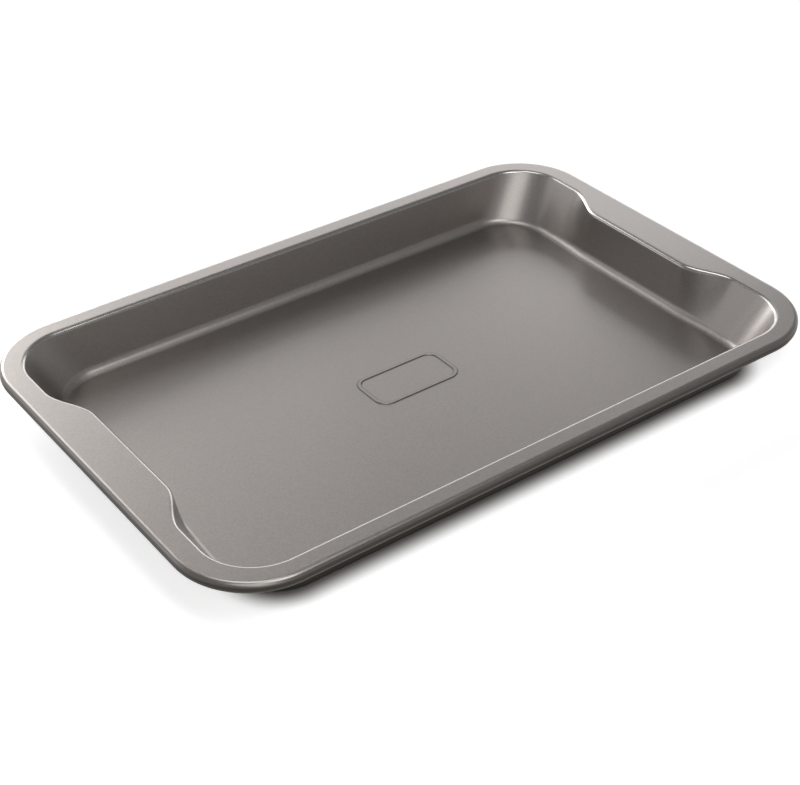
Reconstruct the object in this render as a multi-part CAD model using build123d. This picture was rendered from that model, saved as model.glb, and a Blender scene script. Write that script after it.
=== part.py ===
"""A jelly roll pan: a shallow rectangular baking tray drawn from one steel sheet.

The sheet makes the flat floor, four leaning walls, a level flange around them and a rim that
is rolled down and under. At each short end the wall comes in between two S-shaped curves, so
that the flange widens into a handle there. A steel wire lies inside the rolled rim and
stiffens it. All sizes are in millimetres. The frame: +X along the tray's length, +Y along its
width, +Z up, with the origin under the middle of the floor, on the surface that it rests on.
"""
import os
from math import atan2, cos, sin

from build123d import *

# Sheet
sheet = 0.8
depth = 32.2

# Inside outline of the floor, where floor and walls would meet as a sharp edge
floor_length = 362.6
floor_width = 236.0
floor_corner = 33.0

# How far each wall leans out over its height
side_lean = 7.0
end_lean = 17.4
handle_lean = 4.3

# Corner radius of the inside outline at the flange
mouth_corner = 31.5

# Bends of the sheet, measured on its upper side
floor_bend = 6.5
flange_bend = 2.8

# Flange, from the top of the wall to the outside of the rolled rim
side_flange = 13.4
end_flange = 14.8
rim_corner = 46.7

# Handles: from each corner a straight shoulder, then an S-shaped run, then the middle stretch
handle_shoulder = 19.5
handle_run = 35.0
handle_curve_share = 0.35

# Rolled rim, measured on its outside
curl_shoulder = 2.9
curl_drop = 0.8
curl_radius = 4.2
curl_slot = 1.2

# Wire inside the rolled rim
wire_clearance = 0.12
wire_joint_gap = 1.0

# Raised frame in the middle of the floor
frame_length = 60.5
frame_width = 31.7
frame_corner = 8.7
frame_line = 2.5
frame_height = 0.5

# Heights of the main levels
floor_level = sheet
flange_level = sheet + depth
flange_underside = flange_level - sheet


def rounded_outline(length, width, corner, level):
    """Closed outline of a rectangle with round corners, level at the given height."""
    with BuildSketch(Plane.XY.offset(level)) as outline:
        RectangleRounded(length, width, corner)
    return outline.sketch.face()


def handled_outline(middle_x, end_x, half_width, corner, level):
    """Closed outline whose short sides step from end_x in to middle_x at the handles.

    Each step is one cubic curve that starts and ends parallel to the width, so that it runs
    smoothly into the straight stretches.
    """
    run_y = floor_width / 2 + side_lean - mouth_corner - handle_shoulder
    straight_y = run_y - handle_run
    pull = handle_run * handle_curve_share
    corner_x = end_x - corner
    corner_y = half_width - corner
    with BuildSketch(Plane.XY.offset(level)) as outline:
        with BuildLine():
            Line((middle_x, 0), (middle_x, straight_y))
            Bezier(
                (middle_x, straight_y),
                (middle_x, straight_y + pull),
                (end_x, run_y - pull),
                (end_x, run_y),
            )
            Line((end_x, run_y), (end_x, corner_y))
            RadiusArc((end_x, corner_y), (corner_x, half_width), -corner)
            Line((corner_x, half_width), (0, half_width))
            mirror(about=Plane.YZ)
            mirror(about=Plane.XZ)
        make_face()
    return outline.sketch.face()


def outset(lean):
    """How far the sheet's outer side stands out from its inner side on a wall with this lean.

    Both sides run over the same height, the outer one a sheet lower, so that a leaning wall
    keeps the sheet's thickness with a smaller step sideways.
    """
    angle = atan2(lean, depth)
    return sheet * (1 - sin(angle)) / cos(angle)


def tub(side, bottom_level, bend):
    """Solid that fills the tray up to the flange, bounded by one side of the sheet.

    side is 0 for the sheet's inner side and 1 for its outer side. The walls are straight from
    the floor outline to the mouth outline, and the edge around the floor is rounded.
    """
    middle_x = floor_length / 2 + side * outset(handle_lean)
    end_x = floor_length / 2 + side * outset(end_lean)
    half_width = floor_width / 2 + side * outset(side_lean)
    corner_growth = side * outset(side_lean)
    low = handled_outline(middle_x, end_x, half_width, floor_corner + corner_growth, bottom_level)
    high = handled_outline(
        middle_x + handle_lean,
        end_x + end_lean,
        half_width + side_lean,
        mouth_corner + corner_growth,
        bottom_level + depth,
    )
    solid = loft([low, high], ruled=True)
    return fillet(solid.edges().group_by(Axis.Z)[0], bend)


def rim_half_sizes():
    """Half the overall length and half the overall width, outside the rolled rim."""
    half_length = floor_length / 2 + end_lean + end_flange
    half_width = floor_width / 2 + side_lean + side_flange
    return half_length, half_width


def rim_path(inset, level, gap):
    """Line around the tray at a steady distance inside the rim, with a gap on one long side."""
    half_length, half_width = rim_half_sizes()
    x = half_length - inset
    y = half_width - inset
    corner = rim_corner - inset
    with BuildLine(Plane.XY.offset(level)) as path:
        Line((gap / 2, -y), (x - corner, -y))
        RadiusArc((x - corner, -y), (x, corner - y), -corner)
        Line((x, corner - y), (x, y - corner))
        RadiusArc((x, y - corner), (x - corner, y), -corner)
        Line((x - corner, y), (corner - x, y))
        RadiusArc((corner - x, y), (-x, y - corner), -corner)
        Line((-x, y - corner), (-x, corner - y))
        RadiusArc((-x, corner - y), (corner - x, -y), -corner)
        Line((corner - x, -y), (-gap / 2, -y))
    return path.wire()


def curl_section():
    """Section of the rolled rim, drawn with its outer side at 0 and the flange's top at 0.

    From the flange the sheet goes round a shoulder, down, round under the wire and up again on
    the inner side, where it stops short of the flange.
    """
    inner_x = -2 * curl_radius
    under_z = -curl_shoulder - curl_drop
    end_z = -sheet - curl_slot
    centre_x = -curl_radius
    inner_radius = curl_radius - sheet
    with BuildSketch(Plane.XY) as section:
        with BuildLine():
            Line((inner_x, 0), (-curl_shoulder, 0))
            RadiusArc((-curl_shoulder, 0), (0, -curl_shoulder), curl_shoulder)
            Line((0, -curl_shoulder), (0, under_z))
            RadiusArc((0, under_z), (centre_x, under_z - curl_radius), curl_radius)
            RadiusArc((centre_x, under_z - curl_radius), (inner_x, under_z), curl_radius)
            Line((inner_x, under_z), (inner_x, end_z))
            Line((inner_x, end_z), (inner_x + sheet, end_z))
            Line((inner_x + sheet, end_z), (inner_x + sheet, under_z))
            RadiusArc((inner_x + sheet, under_z), (centre_x, under_z - inner_radius), -inner_radius)
            RadiusArc((centre_x, under_z - inner_radius), (-sheet, under_z), -inner_radius)
            Line((-sheet, under_z), (-sheet, -curl_shoulder))
            RadiusArc((-sheet, -curl_shoulder), (-curl_shoulder, -sheet), sheet - curl_shoulder)
            Line((-curl_shoulder, -sheet), (inner_x, -sheet))
            Line((inner_x, -sheet), (inner_x, 0))
        make_face()
    return section.sketch.face()


def rolled_rim():
    """The rolled rim, its section carried around the tray in straights and round corners."""
    half_length, half_width = rim_half_sizes()
    start = Plane(origin=(0, -half_width, flange_level), x_dir=(0, -1, 0), z_dir=(-1, 0, 0))
    path = rim_path(0, flange_level, 0)
    return sweep(start * curl_section(), path=path)


def flange_plate():
    """Level flange from the rolled rim inwards, before the tray's mouth is cut in it."""
    half_length, half_width = rim_half_sizes()
    inset = 2 * curl_radius
    plate = rounded_outline(
        2 * (half_length - inset), 2 * (half_width - inset), rim_corner - inset, flange_underside
    )
    return extrude(plate, amount=sheet)


def floor_frame():
    """Raised line in the form of a rectangle with round corners, on the floor."""
    outer = rounded_outline(frame_length, frame_width, frame_corner, floor_level)
    inner = rounded_outline(
        frame_length - 2 * frame_line,
        frame_width - 2 * frame_line,
        frame_corner - frame_line,
        floor_level,
    )
    return extrude(outer - inner, amount=frame_height)


def pan_body():
    """The drawn sheet: floor, walls, flange with its two handles, and rolled rim."""
    block = tub(1, 0, floor_bend + sheet) + flange_plate()
    underside = block.faces().filter_by(Axis.Z).sort_by(Axis.Z)[1]
    block = fillet(underside.inner_wires()[0].edges(), flange_bend - sheet)
    body = block - tub(0, floor_level, floor_bend)
    flange = body.faces().filter_by(Axis.Z).sort_by(Axis.Z)[-1]
    body = fillet(flange.inner_wires()[0].edges(), flange_bend)
    return body + rolled_rim() + floor_frame()


def rim_wire():
    """Steel wire inside the rolled rim, bent round and cut so that its ends nearly meet."""
    rolled_height = curl_shoulder + curl_drop + curl_radius
    radius = (rolled_height - 2 * sheet) / 2 - wire_clearance
    level = flange_level - rolled_height / 2
    half_length, half_width = rim_half_sizes()
    start = Plane(
        origin=(wire_joint_gap / 2, curl_radius - half_width, level),
        x_dir=(0, -1, 0),
        z_dir=(1, 0, 0),
    )
    path = rim_path(curl_radius, level, wire_joint_gap)
    return sweep(start * Circle(radius).face(), path=path)


def main():
    """Write one file for each piece."""
    os.makedirs("parts", exist_ok=True)
    export_step(pan_body(), "parts/pan_body.step")
    export_step(rim_wire(), "parts/rim_wire.step")


if __name__ == "__main__":
    main()
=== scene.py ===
"""The looks of a jelly roll pan: its coated sheet, its rim wire, and a plain studio.

The tray's sheet is one surface worked out on a grid: rows follow the section of the sheet from
the middle of the floor to the end of the rolled rim, and columns go around the tray. All sizes
are in metres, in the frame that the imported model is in.
"""
import math

import bpy
import numpy as np
from bpy.props import FloatProperty, FloatVectorProperty, PointerProperty
from bpy.types import Operator, Panel, PropertyGroup
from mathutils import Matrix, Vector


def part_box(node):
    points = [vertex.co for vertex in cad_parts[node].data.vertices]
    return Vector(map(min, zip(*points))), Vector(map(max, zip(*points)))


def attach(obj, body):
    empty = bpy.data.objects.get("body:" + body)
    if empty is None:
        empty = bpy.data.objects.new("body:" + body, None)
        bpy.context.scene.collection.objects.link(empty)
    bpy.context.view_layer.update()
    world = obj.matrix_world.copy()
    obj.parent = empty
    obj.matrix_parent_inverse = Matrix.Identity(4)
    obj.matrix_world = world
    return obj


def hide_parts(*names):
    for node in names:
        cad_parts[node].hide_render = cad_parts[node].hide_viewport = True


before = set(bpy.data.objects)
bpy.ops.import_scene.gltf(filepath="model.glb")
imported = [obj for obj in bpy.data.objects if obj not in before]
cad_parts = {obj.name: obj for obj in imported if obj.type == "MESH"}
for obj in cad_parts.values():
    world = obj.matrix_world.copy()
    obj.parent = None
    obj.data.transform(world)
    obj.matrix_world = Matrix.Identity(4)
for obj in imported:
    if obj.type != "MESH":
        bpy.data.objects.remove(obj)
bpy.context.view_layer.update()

bl_info = {
    "name": "Jelly roll pan",
    "version": (1, 0, 0),
    "blender": (4, 5, 0),
    "location": "3D View > Sidebar > Tray",
    "description": "Builds a jelly roll pan with its coated finish, and a studio around it",
    "category": "Add Mesh",
}

# Columns in a quarter of the tray's outline: the handle's middle stretch, its curve, the
# shoulder beside it, the corner and the long side
MIDDLE_COLUMNS = 7
CURVE_COLUMNS = 27
SHOULDER_COLUMNS = 6
CORNER_COLUMNS = 27
SIDE_COLUMNS = 17

# How far a handle curve's control points lie along it, as a share of its length
CURVE_PULL = 0.35

# Rows across the sheet, as shares of the way between one bend and the next
FRAME_SHARES = (0.25, 0.5, 0.75, 0.97)
FLOOR_SHARES = np.concatenate([[0.005], np.linspace(0.05, 0.95, 12), [0.995]])
WALL_SHARES = np.concatenate([[0.02], np.linspace(0.15, 0.85, 5), [0.98]])
FLANGE_SHARES = np.concatenate([[0.03], np.linspace(0.2, 0.8, 4), [0.97]])
LINE_ROWS = 5
BEND_ROWS = 13
CURL_TOP_ROWS = 11
CURL_UNDER_ROWS = 25

# Where the outside's painted shade and duller finish start and where they would be full, as
# shares of the way round the curl's shoulder
OUTER_START = 0.12
OUTER_END = 1.1

# How strong the painted shade is in the creases along the floor frame's line, and on its upper edges
CREASE_SHADE = 0.6
EDGE_SHADE = 0.16

# How glossy the curl's shoulder is and how much painted highlight it has, as a share of the flange
# bend's gloss and painted highlight
SHOULDER_GLOSS_AND_HIGHLIGHT = 0.4

# Share of the floor frame's line that each of its two sides takes up
LINE_SIDE = 0.14

# Where the columns around the floor frame change their spacing: the first as a share of its
# width, the second as a share of its width less its corner radius
FRAME_MARKS = (0.125, 0.25)

# Edges that turn more than this stay sharp
SHARP_ANGLE = math.radians(50.0)

# Detail of the noise patterns: soft bumps, slow changes of tone, and lines on the wire
PEEL_DETAIL = 2.0
MOTTLE_DETAIL = 3.0
LINE_DETAIL = 2.0

# Sockets of a Mix node that hold its first colour, its second colour and the blended colour
MIX_FIRST = 6
MIX_SECOND = 7
MIX_RESULT = 2

WHITE = (1.0, 1.0, 1.0, 1.0)

# How steeply the world dims overhead, as the power of 1 - z
WORLD_POWER = 4.0

# Width of the camera's sensor, in millimetres
SENSOR_WIDTH = 36.0

# Lamps: name, bearing clockwise from the tray's far long side, height above the floor, radiance
LAMPS = (
    ("back_low", 0.0, 17.0, 7.4),
    ("back_right", 26.0, 17.0, 1.8),
    ("right_low", 51.0, 17.0, 1.8),
    ("left_low", -51.0, 17.0, 0.9),
    ("front_left", -154.0, 17.0, 2.9),
    ("back_left", -15.0, 38.0, 2.4),
    ("back_middle", 15.0, 38.0, 0.6),
    ("right_middle", 45.0, 38.0, 0.3),
    ("front_side", -135.0, 38.0, 2.7),
    ("front_high", 180.0, 60.0, 4.6),
    ("top_left", -45.0, 82.0, 3.2),
)

PAN_LOW, PAN_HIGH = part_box("pan_body")
PAN_LENGTH = PAN_HIGH[0] - PAN_LOW[0]
PAN_WIDTH = PAN_HIGH[1] - PAN_LOW[1]
PAN_HEIGHT = PAN_HIGH[2] - PAN_LOW[2]


def length_property(name, description, default):
    """A size that a user can change, in metres."""
    return FloatProperty(
        name=name,
        description=description,
        default=default,
        min=0.0,
        precision=5,
        subtype="DISTANCE",
        unit="LENGTH",
    )


def colour_property(name, description, default):
    """A colour that a user can change."""
    return FloatVectorProperty(
        name=name,
        description=description,
        subtype="COLOR",
        size=3,
        min=0.0,
        max=1.0,
        default=default,
    )


def share_property(name, description, default):
    """A number from 0 to 1 that a user can change."""
    return FloatProperty(
        name=name, description=description, default=default, min=0.0, max=1.0, subtype="FACTOR"
    )


class TraySizes(PropertyGroup):
    """Sizes of the drawn sheet, measured on its upper side."""

    length: length_property("Length", "Overall length, outside the rolled rim", PAN_LENGTH)
    width: length_property("Width", "Overall width, outside the rolled rim", PAN_WIDTH)
    height: length_property("Height", "Overall height of the tray", PAN_HEIGHT)
    sheet: length_property("Sheet", "Thickness of the sheet", 0.0008)
    side_flange: length_property("Side flange", "Flange along the long sides", 0.0134)
    end_flange: length_property("End flange", "Flange beside the handles", 0.0148)
    side_lean: length_property("Side lean", "How far the long walls lean out", 0.007)
    end_lean: length_property("End lean", "How far the end walls lean out beside the handles", 0.0174)
    handle_lean: length_property("Handle lean", "How far the wall leans out at a handle", 0.0043)
    floor_corner: length_property("Floor corner", "Corner radius where floor and wall meet", 0.033)
    mouth_corner: length_property("Mouth corner", "Corner radius where wall and flange meet", 0.0315)
    rim_corner: length_property("Rim corner", "Corner radius outside the rolled rim", 0.0467)
    floor_bend: length_property("Floor bend", "Radius between floor and wall", 0.0065)
    flange_bend: length_property("Flange bend", "Radius between wall and flange", 0.0028)
    handle_shoulder: length_property(
        "Handle shoulder", "Straight stretch between a corner and the handle's curve", 0.0195
    )
    handle_run: length_property("Handle run", "Length of the handle's S-shaped curve", 0.035)
    curl_shoulder: length_property("Curl shoulder", "Upper outside radius of the rolled rim", 0.0029)
    curl_drop: length_property("Curl drop", "Straight stretch down the rolled rim", 0.0008)
    curl_radius: length_property("Curl radius", "Lower outside radius of the rolled rim", 0.0042)
    curl_slot: length_property("Curl slot", "Slot between the rim's inner end and the flange", 0.0012)


class FloorFrameSizes(PropertyGroup):
    """Sizes of the raised frame on the floor."""

    length: length_property("Length", "Length of the frame", 0.0605)
    width: length_property("Width", "Width of the frame", 0.0317)
    corner: length_property("Corner", "Outside corner radius of the frame", 0.0087)
    line: length_property("Line", "Width of the raised line", 0.0025)
    height: length_property("Height", "Height of the raised line", 0.0005)


class TrayFinish(PropertyGroup):
    """Colours and grain of the coating and of the wire."""

    coat_colour: colour_property("Coat colour", "Non-stick coating", (0.24, 0.2215, 0.2095))
    flake_colour: colour_property("Flake colour", "Bright flakes in it", (0.275, 0.2535, 0.24))
    # Painted shade: the outside of the tray and rim is painted this darker colour
    outer_painted_shade_colour: colour_property("Outer colour", "Coating on the outside", (0.044, 0.038, 0.032))
    # Painted highlight: the tight bends are painted this lighter colour
    bend_highlight_colour: colour_property("Bend colour", "Coating on the tight bends", (0.35, 0.335, 0.32))
    wire_colour: colour_property("Wire colour", "Drawn steel wire", (0.55, 0.54, 0.53))
    wire_dull: colour_property("Wire dull colour", "Duller stretches of the wire", (0.44, 0.43, 0.42))
    coat_roughness: share_property("Coat roughness", "Roughness of the coating", 0.35)
    flake_roughness: share_property("Flake roughness", "Roughness of its flakes", 0.41)
    outer_roughness: share_property("Outer roughness", "Roughness of the outside", 0.5)
    bend_gloss: share_property("Bend gloss", "Share of the roughness left on tight bends", 0.55)
    bend_peel: share_property("Bend peel", "Share of the soft bumps left on tight bends", 0.1)
    wire_roughness: share_property("Wire roughness", "Roughness of the wire", 0.35)
    line_roughness: share_property("Line roughness", "Roughness in the wire's fine lines", 0.28)
    clear_weight: share_property("Clear weight", "Strength of the clear layer on the coating", 0.25)
    outer_clear: share_property("Outer clear", "Strength of the clear layer on the outside", 0.0)
    clear_roughness: share_property("Clear roughness", "Roughness of the clear layer", 0.15)
    flake_size: length_property("Flake size", "Size of a flake in the coating", 0.0007)
    peel_size: length_property("Peel size", "Size of the soft bumps of the sprayed coating", 0.0014)
    peel_height: length_property("Peel height", "Height of the soft bumps", 0.00002)
    mottle_size: length_property("Mottle size", "Size of the slow changes of tone", 0.045)
    draw_size: length_property("Draw size", "Width of a drawing line on the wire", 0.00008)
    draw_height: length_property("Draw height", "Depth of a drawing line on the wire", 0.000004)


class StageSettings(PropertyGroup):
    """Camera, lights and floor."""

    camera_place: FloatVectorProperty(
        name="Camera place",
        description="Where the camera stands",
        subtype="TRANSLATION",
        unit="LENGTH",
        size=3,
        precision=5,
        default=(-0.479126, -0.631616, 0.550006),
    )
    camera_elevation: FloatProperty(
        name="Camera elevation",
        description="How far the camera looks down",
        default=math.radians(35.234),
        subtype="ANGLE",
        unit="ROTATION",
    )
    camera_azimuth: FloatProperty(
        name="Camera azimuth",
        description="How far the camera is turned round the tray from its front",
        default=math.radians(-36.846),
        subtype="ANGLE",
        unit="ROTATION",
    )
    lens: FloatProperty(
        name="Lens",
        description="Focal length on a sensor 36 mm wide",
        default=72.13,
        unit="CAMERA",
    )
    floor_size: length_property("Floor size", "Side of the square studio floor", 60.0)
    floor_colour: colour_property("Floor colour", "Colour of the pale studio floor", (0.8, 0.8, 0.8))
    floor_roughness: share_property("Floor roughness", "Roughness of the studio floor", 0.9)
    floor_glow: share_property("Floor glow", "Light that the seen floor adds far from the tray", 0.2)
    # Painted light: the floor glows more just beside the tray, which lifts the tray's shadow there
    near_glow: share_property("Near glow", "Light that the seen floor adds beside the tray", 0.6)
    # Painted shadow: the floor is painted this darker colour under the tray
    painted_shadow_colour: colour_property(
        "Contact colour", "Colour of the floor under the tray", (0.27, 0.256, 0.238)
    )
    contact_length: length_property("Contact length", "Half the length of the unlit floor", 0.152)
    contact_width: length_property("Contact width", "Half the width of the unlit floor", 0.092)
    contact_corner: length_property("Contact corner", "Corner radius around the unlit floor", 0.024)
    contact_fade: length_property("Contact fade", "Over how far the unlit floor fades out", 0.016)
    near_fade: length_property("Near fade", "Over how far the near glow fades out", 0.07)
    world_top: share_property("World above", "Strength of the world overhead", 0.31)
    world_edge: share_property("World edge", "Strength of the world along the horizon", 0.95)
    lamp_distance: length_property("Lamp distance", "From the tray to each lamp", 1.5)
    lamp_size: length_property("Lamp size", "Across each round lamp", 0.75)


def corner_outline(middle_x, end_x, half_width, corner, marks):
    """Points and outward directions of a tray outline, once around, as two arrays.

    marks holds two distances along the width: where the handle's straight stretch ends and
    where its curve ends. The first quarter runs up the straight stretch, along a cubic curve
    whose ends are parallel to the width, up the shoulder, round a quarter circle and back
    along the long side. The other quarters are its mirror images.
    """
    straight_y, run_y = marks
    middle = np.linspace(0.0, 1.0, MIDDLE_COLUMNS)[:, None]
    t = np.linspace(0.0, 1.0, CURVE_COLUMNS)[1:, None]
    shoulder = np.linspace(0.0, 1.0, SHOULDER_COLUMNS)[1:, None]
    turn = np.linspace(0.0, math.pi / 2, CORNER_COLUMNS)[1:, None]
    side = np.linspace(0.0, 1.0, SIDE_COLUMNS)[1:, None]
    corner_x = end_x - corner
    corner_y = half_width - corner
    pull = (run_y - straight_y) * CURVE_PULL
    bezier = np.array(
        [
            (middle_x, straight_y),
            (middle_x, straight_y + pull),
            (end_x, run_y - pull),
            (end_x, run_y),
        ]
    )
    weights = np.hstack([(1 - t) ** 3, 3 * t * (1 - t) ** 2, 3 * t**2 * (1 - t), t**3])
    slopes = np.hstack([(1 - t) ** 2, 2 * t * (1 - t), t**2])
    run = weights @ bezier
    run_along = slopes @ np.diff(bezier, axis=0)
    run_along = run_along / np.linalg.norm(run_along, axis=1, keepdims=True)
    points = np.vstack(
        [
            np.hstack([np.full_like(middle, middle_x), middle * straight_y]),
            run,
            np.hstack([np.full_like(shoulder, end_x), run_y + shoulder * (corner_y - run_y)]),
            np.hstack([corner_x + corner * np.cos(turn), corner_y + corner * np.sin(turn)]),
            np.hstack([corner_x * (1 - side), np.full_like(side, half_width)]),
        ]
    )
    ones = np.ones_like(middle)
    outward = np.vstack(
        [
            np.hstack([ones, 0 * ones]),
            np.stack([run_along[:, 1], -run_along[:, 0]], axis=1),
            np.hstack([np.ones_like(shoulder), np.zeros_like(shoulder)]),
            np.hstack([np.cos(turn), np.sin(turn)]),
            np.hstack([np.zeros_like(side), np.ones_like(side)]),
        ]
    )
    return mirror_quarter(points), mirror_quarter(outward)


def mirror_quarter(quarter):
    """A whole ring of points or directions from its first quarter, without doubled columns."""
    back = quarter[::-1][1:] * (-1, 1)
    left = quarter[1:] * (-1, -1)
    front = quarter[::-1][1:-1] * (1, -1)
    return np.vstack([quarter, back, left, front])


def lift(points, level):
    """Points of a flat outline as points in space at one level."""
    return np.hstack([points, np.full((len(points), 1), level)])


def blend_rows(first, last, shares):
    """Rows between two outlines, each a given share of the way from the first to the last."""
    return [first + (last - first) * share for share in shares]


def sheet_rows(sizes, mark, raised):
    """Rows of points across the tray's upper side, from the middle of the floor to the curl.

    raised is 1 for the raised line on the floor and 0 for a plain floor.
    """
    floor_level = sizes.sheet
    depth = sizes.height - sizes.sheet
    half_length = sizes.length / 2
    half_width = sizes.width / 2
    mouth_x = half_length - sizes.end_flange
    mouth_y = half_width - sizes.side_flange
    foot_x = mouth_x - sizes.end_lean
    foot_y = mouth_y - sizes.side_lean
    run_y = mouth_y - sizes.mouth_corner - sizes.handle_shoulder
    marks = (run_y - sizes.handle_run, run_y)
    foot, foot_out = corner_outline(foot_x, foot_x, foot_y, sizes.floor_corner, marks)
    mouth, mouth_out = corner_outline(
        foot_x + sizes.handle_lean, mouth_x, mouth_y, sizes.mouth_corner, marks
    )
    rim, rim_out = corner_outline(half_length, half_length, half_width, sizes.rim_corner, marks)
    rise = mouth - foot

    line = frame_rows(mark, floor_level, raised)
    floor_bend = bend_rows(foot, foot_out, rise, depth, sizes.floor_bend, floor_level, False)
    flange_bend = bend_rows(mouth, mouth_out, rise, depth, sizes.flange_bend, sizes.height, True)
    curl = curl_rows(rim, rim_out, sizes)
    rows = [line[0] * (share, share, 1.0) for share in FRAME_SHARES]
    rows += line
    rows += blend_rows(line[-1], floor_bend[0], FLOOR_SHARES)
    rows += floor_bend
    rows += blend_rows(floor_bend[-1], flange_bend[0], WALL_SHARES)
    rows += flange_bend
    rows += blend_rows(flange_bend[-1], curl[0], FLANGE_SHARES)
    return np.array(rows + curl)


def frame_rows(mark, level, raised):
    """Rows across the frame's raised line, inside first.

    The line has a flat top and two steep flat sides.
    """
    marks = (mark.width * FRAME_MARKS[0], (mark.width - mark.corner) * FRAME_MARKS[1])
    side = np.linspace(0.0, LINE_SIDE, LINE_ROWS // 2)
    rows = []
    for across in np.concatenate([side, [0.5], 1 - side[::-1]]):
        inset = mark.line * (1 - across)
        rise = min(across, 1 - across, LINE_SIDE) / LINE_SIDE
        half_length = mark.length / 2 - inset
        ring, _ = corner_outline(
            half_length, half_length, mark.width / 2 - inset, mark.corner - inset, marks
        )
        rows.append(lift(ring, level + raised * mark.height * rise))
    return rows


def bend_rows(sharp, outward, rise, depth, radius, level, at_top):
    """Rows around a bend between a level surface and the leaning wall.

    In the upright plane through each column's outward direction the bend is an arc of the
    given radius that touches the level surface and the wall. The columns follow the wall's own
    slant sideways, in proportion to the height.
    """
    along = np.stack([-outward[:, 1], outward[:, 0]], axis=1)
    lean = np.arctan2(np.sum(rise * outward, axis=1), depth)
    sideways = np.sum(rise * along, axis=1) / depth
    reach = radius * (1 - np.sin(lean)) / np.cos(lean)
    rows = []
    for share in np.linspace(0.0, 1.0, BEND_ROWS):
        if at_top:
            slope = (math.pi / 2 - lean) * (1 - share)
            out = reach - radius * np.sin(slope)
            up = radius * (np.cos(slope) - 1)
        else:
            slope = (math.pi / 2 - lean) * share
            out = radius * np.sin(slope) - reach
            up = radius * (1 - np.cos(slope))
        flat = sharp + outward * out[:, None] + along * (sideways * up)[:, None]
        rows.append(np.hstack([flat, (level + up)[:, None]]))
    return rows


def curl_rows(rim, outward, sizes):
    """Rows around the rolled rim: a quarter circle, a drop, a half circle and a short rise."""
    shoulder = sizes.curl_shoulder
    radius = sizes.curl_radius
    turned = np.linspace(0.0, math.pi / 2, CURL_TOP_ROWS)
    under = np.linspace(0.0, math.pi, CURL_UNDER_ROWS)
    under_z = -shoulder - sizes.curl_drop
    out = np.concatenate([shoulder * (np.sin(turned) - 1), radius * (np.cos(under) - 1)])
    up = np.concatenate([shoulder * (np.cos(turned) - 1), under_z - radius * np.sin(under)])
    out = np.append(out, -2 * radius)
    up = np.append(up, -sizes.sheet - sizes.curl_slot)
    return [lift(rim + outward * a, sizes.height + b) for a, b in zip(out, up)]


def grid_directions(grid):
    """Unit directions off a grid's front: the cross product of its two directions in space."""
    across = np.gradient(grid, axis=0)
    around = np.roll(grid, -1, axis=1) - np.roll(grid, 1, axis=1)
    off = np.cross(across, around)
    return off / np.linalg.norm(off, axis=2, keepdims=True)


def row_shares():
    """Two masks by row of the upper side, each with the value that the lower side has.

    The first, for painted shade and a duller coat, is 0 as far as the flange, rises smoothly round
    the curl's shoulder, and is 1 from there: painted shade on the outside. It also has peaks of
    painted shade in the creases and on the edges of the floor frame's line. The second, for gloss
    and a painted highlight, is half a sine wave across the flange bend, and rises and falls again
    round the curl's shoulder.
    """
    line = np.zeros(len(FRAME_SHARES) + LINE_ROWS)
    # Painted shade in the creases and on the upper edges of the frame's line
    line[[-LINE_ROWS, -1]] = CREASE_SHADE
    line[[1 - LINE_ROWS, -2]] = EDGE_SHADE
    before = np.zeros(len(FLOOR_SHARES) + len(WALL_SHARES) + BEND_ROWS)
    flange = np.zeros(len(FLANGE_SHARES))
    under = np.ones(CURL_UNDER_ROWS + 1)
    turn = np.linspace(0.0, 1.0, CURL_TOP_ROWS)
    # Painted shade on the outside, rising smoothly round the curl's shoulder
    rise = np.clip((turn - OUTER_START) / (OUTER_END - OUTER_START), 0.0, 1.0)
    dark = [line, before, np.zeros(BEND_ROWS), flange, rise**2 * (3 - 2 * rise), under]
    # Gloss and painted highlight across the flange bend and round the curl's shoulder
    across = np.sin(np.linspace(0.0, math.pi, BEND_ROWS))
    shoulder = SHOULDER_GLOSS_AND_HIGHLIGHT * np.sin(math.pi * np.sqrt(turn))
    gloss_highlight_mask = [0 * line, before, across, flange, shoulder, 0 * under]
    return {"painted_shade_and_dull_coat": (np.concatenate(dark), 1.0), "bend_gloss_and_highlight": (np.concatenate(gloss_highlight_mask), 0.0)}


def sheet_mesh(name, upper, lower, masks):
    """A closed mesh of the sheet: rows along its upper side, back along its lower side.

    Each row is a ring around the tray. The first and last rings are closed by fans about a
    point in the middle of the floor.
    """
    grid = np.concatenate([upper, lower[::-1]])
    count, ring = grid.shape[:2]
    middle = [(0.0, 0.0, upper[0, 0, 2]), (0.0, 0.0, lower[0, 0, 2])]
    points = np.vstack([middle, grid.reshape(-1, 3)])
    index = len(middle) + np.arange(count * ring).reshape(count, ring)
    ahead = np.roll(index, -1, axis=1)
    quads = np.stack([index[:-1], index[1:], ahead[1:], ahead[:-1]], axis=2).reshape(-1, 4)
    zeros = np.zeros(ring, dtype=int)
    top = np.stack([zeros, index[0], ahead[0]], axis=1)
    bottom = np.stack([zeros + 1, ahead[-1], index[-1]], axis=1)
    mesh = bpy.data.meshes.new(name)
    mesh.from_pydata(points.tolist(), [], top.tolist() + quads.tolist() + bottom.tolist())
    for label, (shares, below) in masks.items():
        rest = np.full(lower.size // 3, below)
        values = np.concatenate([[shares[0], below], np.repeat(shares, ring), rest])
        layer = mesh.attributes.new(label, "FLOAT", "POINT")
        layer.data.foreach_set("value", values.astype(np.float32))
    mesh.update()
    mesh.shade_smooth()
    mesh.set_sharp_from_angle(angle=SHARP_ANGLE)
    return mesh


def add_piece(name, mesh, material, slot, *nodes):
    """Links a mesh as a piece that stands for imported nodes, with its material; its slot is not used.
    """
    piece = bpy.data.objects.new(name, mesh)
    bpy.context.scene.collection.objects.link(piece)
    mesh.materials.append(material)
    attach(piece, "root")
    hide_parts(*nodes)
    return piece


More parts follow.
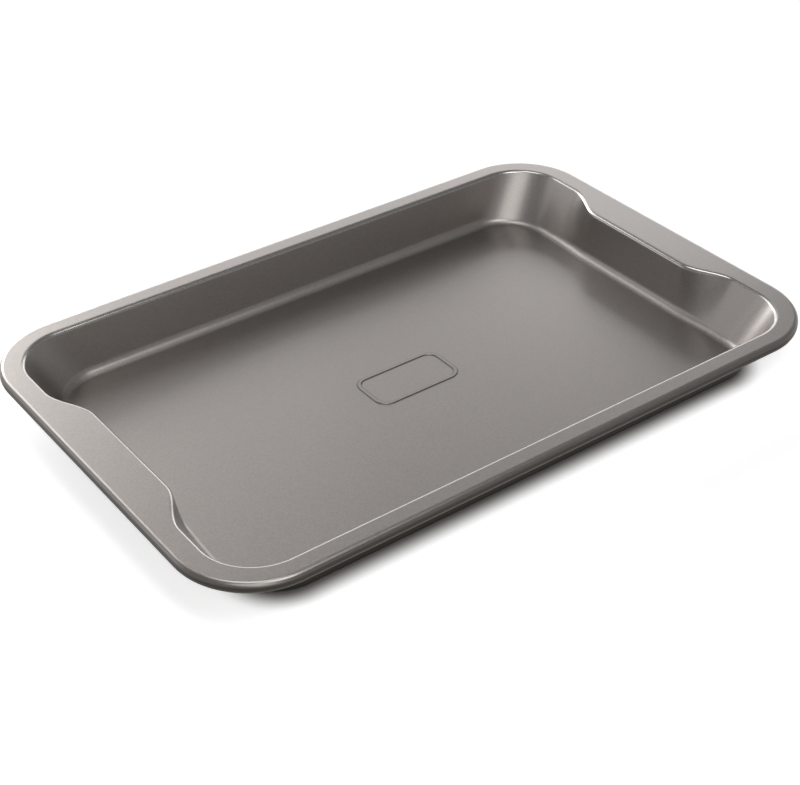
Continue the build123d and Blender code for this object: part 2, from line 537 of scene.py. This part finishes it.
def new_group(name, inputs, outputs):
    """An empty shader node group with number inputs and outputs; Vector is the pattern's place."""
    group = bpy.data.node_groups.new(name, "ShaderNodeTree")
    group.interface.new_socket("Vector", in_out="INPUT", socket_type="NodeSocketVector")
    for label in inputs:
        group.interface.new_socket(label, in_out="INPUT", socket_type="NodeSocketFloat")
    for label in outputs:
        group.interface.new_socket(label, in_out="OUTPUT", socket_type="NodeSocketFloat")
    return group, group.nodes.new("NodeGroupInput"), group.nodes.new("NodeGroupOutput")


def per_size(group, size):
    """The scale of a pattern whose features have the given size: one divided by it."""
    node = group.nodes.new("ShaderNodeMath")
    node.operation = "DIVIDE"
    node.inputs[0].default_value = 1.0
    group.links.new(size, node.inputs[1])
    return node.outputs[0]


def noise(group, place, scale, detail):
    """A soft noise pattern."""
    node = group.nodes.new("ShaderNodeTexNoise")
    node.inputs["Detail"].default_value = detail
    group.links.new(place, node.inputs["Vector"])
    group.links.new(scale, node.inputs["Scale"])
    return node.outputs["Fac"]


def sprayed_grain():
    """Node group: fine flakes, the soft bumps between them and slow changes of tone."""
    group, given, result = new_group(
        "sprayed_grain", ("Flake size", "Peel size", "Mottle size"), ("Flake", "Peel", "Mottle")
    )
    place = given.outputs["Vector"]
    cells = group.nodes.new("ShaderNodeTexVoronoi")
    cells.feature = "F1"
    group.links.new(place, cells.inputs["Vector"])
    group.links.new(per_size(group, given.outputs["Flake size"]), cells.inputs["Scale"])
    split = group.nodes.new("ShaderNodeSeparateColor")
    group.links.new(cells.outputs["Color"], split.inputs["Color"])
    group.links.new(split.outputs["Red"], result.inputs["Flake"])
    peel_scale = per_size(group, given.outputs["Peel size"])
    group.links.new(noise(group, place, peel_scale, PEEL_DETAIL), result.inputs["Peel"])
    mottle_scale = per_size(group, given.outputs["Mottle size"])
    group.links.new(noise(group, place, mottle_scale, MOTTLE_DETAIL), result.inputs["Mottle"])
    return group


def drawn_lines():
    """Node group: fine lines along level wire, from noise that is stretched along the level."""
    group, given, result = new_group("drawn_lines", ("Line size", "Length"), ("Line",))
    stretch = group.nodes.new("ShaderNodeCombineXYZ")
    parts = group.nodes.new("ShaderNodeSeparateXYZ")
    group.links.new(given.outputs["Vector"], parts.inputs[0])
    sizes = {"X": "Length", "Y": "Length", "Z": "Line size"}
    for axis, label in sizes.items():
        divide = group.nodes.new("ShaderNodeMath")
        divide.operation = "DIVIDE"
        group.links.new(parts.outputs[axis], divide.inputs[0])
        group.links.new(given.outputs[label], divide.inputs[1])
        group.links.new(divide.outputs[0], stretch.inputs[axis])
    lines = group.nodes.new("ShaderNodeTexNoise")
    lines.inputs["Scale"].default_value = 1.0
    lines.inputs["Detail"].default_value = LINE_DETAIL
    group.links.new(stretch.outputs[0], lines.inputs["Vector"])
    group.links.new(lines.outputs["Fac"], result.inputs["Line"])
    return group


class MaterialMaker:
    """A new material, with short ways to add and link its nodes."""

    def __init__(self, name):
        self.material = bpy.data.materials.new(name)
        self.material.use_nodes = True
        self.tree = self.material.node_tree
        self.shader = self.tree.nodes["Principled BSDF"]

    def add(self, kind):
        """A new node."""
        return self.tree.nodes.new(kind)

    def link(self, source, target):
        """A link between two sockets."""
        self.tree.links.new(source, target)

    def effect(self, group, **values):
        """A node group on Object coordinates, with its own values."""
        node = self.add("ShaderNodeGroup")
        node.node_tree = group
        self.link(self.add("ShaderNodeTexCoord").outputs["Object"], node.inputs["Vector"])
        for label, value in values.items():
            node.inputs[label.replace("_", " ")].default_value = value
        return node

    def mask(self, name):
        """The value of a mesh attribute."""
        node = self.add("ShaderNodeAttribute")
        node.attribute_name = name
        return node.outputs["Fac"]

    def give(self, value, socket):
        """Links another socket to this one, or sets its number or colour."""
        if isinstance(value, bpy.types.NodeSocket):
            self.link(value, socket)
        elif isinstance(value, float):
            socket.default_value = value
        else:
            socket.default_value = (*value, 1.0)

    def number(self, operation, first, second):
        """A number worked out from two others."""
        node = self.add("ShaderNodeMath")
        node.operation = operation
        self.give(first, node.inputs[0])
        self.give(second, node.inputs[1])
        return node.outputs[0]

    def blend(self, share, first, second):
        """A colour that goes from the first to the second with a share from 0 to 1."""
        mix = self.add("ShaderNodeMix")
        mix.data_type = "RGBA"
        self.give(share, mix.inputs["Factor"])
        self.give(first, mix.inputs[MIX_FIRST])
        self.give(second, mix.inputs[MIX_SECOND])
        return mix.outputs[MIX_RESULT]

    def spread(self, share, low, high, start=0.0, end=1.0):
        """A number that goes smoothly from low to high as a share goes from start to end."""
        node = self.add("ShaderNodeMapRange")
        node.interpolation_type = "SMOOTHSTEP"
        node.inputs["From Min"].default_value = start
        node.inputs["From Max"].default_value = end
        node.inputs["To Min"].default_value = low
        node.inputs["To Max"].default_value = high
        self.link(share, node.inputs["Value"])
        return node.outputs["Result"]

    def bump(self, height, depth):
        """Raises the surface by a height pattern, to the given depth in metres."""
        node = self.add("ShaderNodeBump")
        node.inputs["Distance"].default_value = depth
        self.link(height, node.inputs["Height"])
        self.link(node.outputs["Normal"], self.shader.inputs["Normal"])


def coating_material(finish, grain):
    """The satin non-stick coating: warm grey, with fine flakes under soft bumps.

    The outside of the rolled rim and of the tray is duller and has painted shade, a darker colour,
    by one attribute, which also paints shade into the creases and edges of the floor frame's line.
    The tight bends are glossier and smoother, by another, which also paints a lighter highlight
    colour on them.
    """
    maker = MaterialMaker("coated_sheet")
    effect = maker.effect(
        grain, Flake_size=finish.flake_size, Peel_size=finish.peel_size, Mottle_size=finish.mottle_size
    )
    flake = effect.outputs["Flake"]
    outer = maker.mask("painted_shade_and_dull_coat")
    gloss_highlight_mask = maker.mask("bend_gloss_and_highlight")
    coat = maker.blend(flake, finish.coat_colour, finish.flake_colour)
    # Painted highlight: the tight bends are painted lighter
    bends = maker.blend(gloss_highlight_mask, coat, finish.bend_highlight_colour)
    # Painted shade: the outside and the creases of the frame's line are painted darker
    maker.link(maker.blend(outer, bends, finish.outer_painted_shade_colour), maker.shader.inputs["Base Color"])
    rough = maker.spread(flake, finish.coat_roughness, finish.flake_roughness)
    rough = maker.number("MULTIPLY", rough, maker.spread(gloss_highlight_mask, 1.0, finish.bend_gloss))
    rough = maker.number("MAXIMUM", rough, maker.spread(outer, 0.0, finish.outer_roughness))
    maker.link(rough, maker.shader.inputs["Roughness"])
    maker.shader.inputs["Metallic"].default_value = 1.0
    clear = maker.spread(outer, finish.clear_weight, finish.outer_clear)
    maker.link(clear, maker.shader.inputs["Coat Weight"])
    maker.shader.inputs["Coat Roughness"].default_value = finish.clear_roughness
    peel = maker.number("MULTIPLY", effect.outputs["Peel"], maker.spread(gloss_highlight_mask, 1.0, finish.bend_peel))
    maker.bump(peel, finish.peel_height)
    return maker.material


def wire_material(finish, grain, lines):
    """Drawn steel, with fine lines along the wire."""
    maker = MaterialMaker("wire_steel")
    drawn = maker.effect(lines, Line_size=finish.draw_size, Length=finish.mottle_size)
    effect = maker.effect(
        grain, Flake_size=finish.flake_size, Peel_size=finish.peel_size, Mottle_size=finish.mottle_size
    )
    colour = maker.blend(effect.outputs["Mottle"], finish.wire_colour, finish.wire_dull)
    maker.link(colour, maker.shader.inputs["Base Color"])
    rough = maker.spread(drawn.outputs["Line"], finish.line_roughness, finish.wire_roughness)
    maker.link(rough, maker.shader.inputs["Roughness"])
    maker.shader.inputs["Metallic"].default_value = 1.0
    maker.bump(drawn.outputs["Line"], finish.draw_height)
    return maker.material


def named_group(name, make):
    """A node group, made the first time that it is asked for."""
    return bpy.data.node_groups.get(name) or make()


class TRAY_OT_pan_shell(Operator):
    """Build the drawn sheet with its handles, rolled rim and floor frame"""

    bl_idname = "tray.pan_shell"
    bl_label = "Build the sheet"

    def execute(self, context):
        scene = context.scene
        sizes = scene.tray_sizes
        mark = scene.tray_frame_sizes
        upper = sheet_rows(sizes, mark, 1.0)
        plain = sheet_rows(sizes, mark, 0.0)
        lower = plain - sizes.sheet * grid_directions(plain)
        mesh = sheet_mesh("pan_shell", upper, lower, row_shares())
        grain = named_group("sprayed_grain", sprayed_grain)
        coating = coating_material(scene.tray_finish, grain)
        add_piece("pan_shell", mesh, coating, "coated_sheet", "pan_body")
        return {"FINISHED"}


class TRAY_OT_rim_wire(Operator):
    """Give the wire in the rolled rim its drawn steel"""

    bl_idname = "tray.rim_wire"
    bl_label = "Finish the wire"

    def execute(self, context):
        grain = named_group("sprayed_grain", sprayed_grain)
        lines = named_group("drawn_lines", drawn_lines)
        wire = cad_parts["rim_wire"]
        wire.data.materials.clear()
        wire.data.materials.append(wire_material(context.scene.tray_finish, grain, lines))
        return {"FINISHED"}


class TRAY_OT_stage(Operator):
    """Set up the floor, the lights, the world and the camera"""

    bl_idname = "tray.stage"
    bl_label = "Set the stage"

    def execute(self, context):
        scene = context.scene
        settings = scene.tray_stage
        build_floor(settings)
        build_lamps(scene, settings)
        build_world(scene, settings)
        build_camera(scene, settings)
        scene.view_settings.view_transform = "Standard"
        return {"FINISHED"}


def build_floor(settings):
    """A large pale floor that the tray stands on."""
    half = settings.floor_size / 2
    mesh = bpy.data.meshes.new("studio_floor")
    corners = [(-half, -half, 0.0), (half, -half, 0.0), (half, half, 0.0), (-half, half, 0.0)]
    mesh.from_pydata(corners, [], [(0, 1, 2, 3)])
    mesh.materials.append(floor_material(settings))
    floor = bpy.data.objects.new("studio_floor", mesh)
    bpy.context.scene.collection.objects.link(floor)


def around_tray():
    """Node group: distance on the level from a rectangle with round corners.

    It is the length of max(|place| - half size, 0), less the corner radius.
    """
    group = bpy.data.node_groups.new("around_tray", "ShaderNodeTree")
    for label in ("Vector", "Half size"):
        group.interface.new_socket(label, in_out="INPUT", socket_type="NodeSocketVector")
    group.interface.new_socket("Corner", in_out="INPUT", socket_type="NodeSocketFloat")
    group.interface.new_socket("Distance", in_out="OUTPUT", socket_type="NodeSocketFloat")
    given = group.nodes.new("NodeGroupInput")
    result = group.nodes.new("NodeGroupOutput")
    last = given.outputs["Vector"]
    for operation in ("ABSOLUTE", "SUBTRACT", "MAXIMUM", "LENGTH"):
        node = group.nodes.new("ShaderNodeVectorMath")
        node.operation = operation
        group.links.new(last, node.inputs[0])
        if operation == "SUBTRACT":
            group.links.new(given.outputs["Half size"], node.inputs[1])
        last = node.outputs["Value" if operation == "LENGTH" else "Vector"]
    less = group.nodes.new("ShaderNodeMath")
    less.operation = "SUBTRACT"
    group.links.new(last, less.inputs[0])
    group.links.new(given.outputs["Corner"], less.inputs[1])
    group.links.new(less.outputs[0], result.inputs["Distance"])
    return group


def floor_material(settings):
    """Pale matt paper that looks white to the camera and in the tray's gloss.

    Its glow is weak under the tray, where the paper also has a painted shadow in a darker colour, so
    that the tray's shadow stays dark there. The glow is strongest just beside the tray, a painted
    light that lifts the tray's shadow there, and falls to a steady level further out.
    """
    maker = MaterialMaker("studio_floor")
    maker.shader.inputs["Roughness"].default_value = settings.floor_roughness
    maker.shader.inputs["Specular IOR Level"].default_value = 0.0
    maker.shader.inputs["Emission Color"].default_value = WHITE
    around = maker.effect(
        named_group("around_tray", around_tray),
        Half_size=(settings.contact_length, settings.contact_width, 0.0),
        Corner=settings.contact_corner,
    )
    distance = around.outputs["Distance"]
    # Painted light: the glow is strongest just beside the tray, which lifts the tray's shadow there
    near = maker.spread(
        distance, settings.near_glow, settings.floor_glow, settings.contact_fade, settings.near_fade
    )
    rise = maker.spread(distance, 0.0, 1.0, 0.0, settings.contact_fade)
    glow = maker.number("MULTIPLY", near, rise)
    # Painted shadow: the paper is painted darker under the tray
    paper_with_painted_shadow = maker.blend(rise, settings.painted_shadow_colour, settings.floor_colour)
    maker.link(paper_with_painted_shadow, maker.shader.inputs["Base Color"])
    rays = maker.add("ShaderNodeLightPath")
    seen = rays.outputs["Is Camera Ray"]
    for label in ("Is Glossy Ray", "Is Transmission Ray"):
        seen = maker.number("MAXIMUM", seen, rays.outputs[label])
    maker.link(maker.number("MULTIPLY", glow, seen), maker.shader.inputs["Emission Strength"])
    return maker.material


def build_lamps(scene, settings):
    """Round soft lamps around the tray, each facing it, of one size and at one distance.

    The power of a lamp is its radiance times its area times pi.
    """
    for name, bearing, height, radiance in LAMPS:
        turn, rise = math.radians(bearing), math.radians(height)
        data = bpy.data.lights.new(name, "AREA")
        data.shape = "DISK"
        data.size = settings.lamp_size
        data.energy = radiance * (math.pi * settings.lamp_size / 2) ** 2
        lamp = bpy.data.objects.new(name, data)
        lamp.location = [
            settings.lamp_distance * part
            for part in (
                math.sin(turn) * math.cos(rise),
                math.cos(turn) * math.cos(rise),
                math.sin(rise),
            )
        ]
        lamp.rotation_euler = (math.pi / 2 - rise, 0.0, math.pi - turn)
        scene.collection.objects.link(lamp)


def build_world(scene, settings):
    """A pale world that is brightest along the horizon and dims smoothly overhead.

    Its strength is world_top plus the rest of world_edge times (1 - z) to the power
    WORLD_POWER, where z is the height of the direction of view.
    """
    world = bpy.data.worlds.new("studio")
    world.use_nodes = True
    tree = world.node_tree
    background = tree.nodes["Background"]
    background.inputs["Color"].default_value = WHITE
    place = tree.nodes.new("ShaderNodeTexCoord")
    parts = tree.nodes.new("ShaderNodeSeparateXYZ")
    tree.links.new(place.outputs["Generated"], parts.inputs[0])
    last = parts.outputs["Z"]
    steps = (
        ("SUBTRACT", 1.0, None),
        ("POWER", None, WORLD_POWER),
        ("MULTIPLY", None, settings.world_edge - settings.world_top),
        ("ADD", None, settings.world_top),
    )
    for operation, first, second in steps:
        node = tree.nodes.new("ShaderNodeMath")
        node.operation = operation
        node.use_clamp = operation == "SUBTRACT"
        if first is None:
            tree.links.new(last, node.inputs[0])
            node.inputs[1].default_value = second
        else:
            node.inputs[0].default_value = first
            tree.links.new(last, node.inputs[1])
        last = node.outputs[0]
    tree.links.new(last, background.inputs["Strength"])
    scene.world = world


def build_camera(scene, settings):
    """A camera at the photograph's angle."""
    data = bpy.data.cameras.new("camera")
    data.lens = settings.lens
    data.sensor_width = SENSOR_WIDTH
    data.sensor_fit = "HORIZONTAL"
    camera = bpy.data.objects.new("camera", data)
    camera.location = settings.camera_place
    camera.rotation_euler = (
        math.pi / 2 - settings.camera_elevation,
        0.0,
        settings.camera_azimuth,
    )
    scene.collection.objects.link(camera)
    scene.camera = camera


class TRAY_PT_panel(Panel):
    """Lists the tray's pieces and the stage"""

    bl_idname = "TRAY_PT_panel"
    bl_label = "Tray"
    bl_space_type = "VIEW_3D"
    bl_region_type = "UI"
    bl_category = "Tray"

    def draw(self, context):
        for operator in (TRAY_OT_pan_shell, TRAY_OT_rim_wire, TRAY_OT_stage):
            self.layout.operator(operator.bl_idname)


CLASSES = (
    TraySizes,
    FloorFrameSizes,
    TrayFinish,
    StageSettings,
    TRAY_OT_pan_shell,
    TRAY_OT_rim_wire,
    TRAY_OT_stage,
    TRAY_PT_panel,
)


def register():
    """Register the classes and hang the settings on the scene."""
    for entry in CLASSES:
        bpy.utils.register_class(entry)
    bpy.types.Scene.tray_sizes = PointerProperty(type=TraySizes)
    bpy.types.Scene.tray_frame_sizes = PointerProperty(type=FloorFrameSizes)
    bpy.types.Scene.tray_finish = PointerProperty(type=TrayFinish)
    bpy.types.Scene.tray_stage = PointerProperty(type=StageSettings)


def unregister():
    """Take the settings and classes away again."""
    del bpy.types.Scene.tray_stage
    del bpy.types.Scene.tray_finish
    del bpy.types.Scene.tray_frame_sizes
    del bpy.types.Scene.tray_sizes
    for entry in reversed(CLASSES):
        bpy.utils.unregister_class(entry)


def main():
    """Build everything in order."""
    register()
    bpy.ops.tray.pan_shell()
    bpy.ops.tray.rim_wire()
    bpy.ops.tray.stage()


if __name__ == "__main__":
    main()
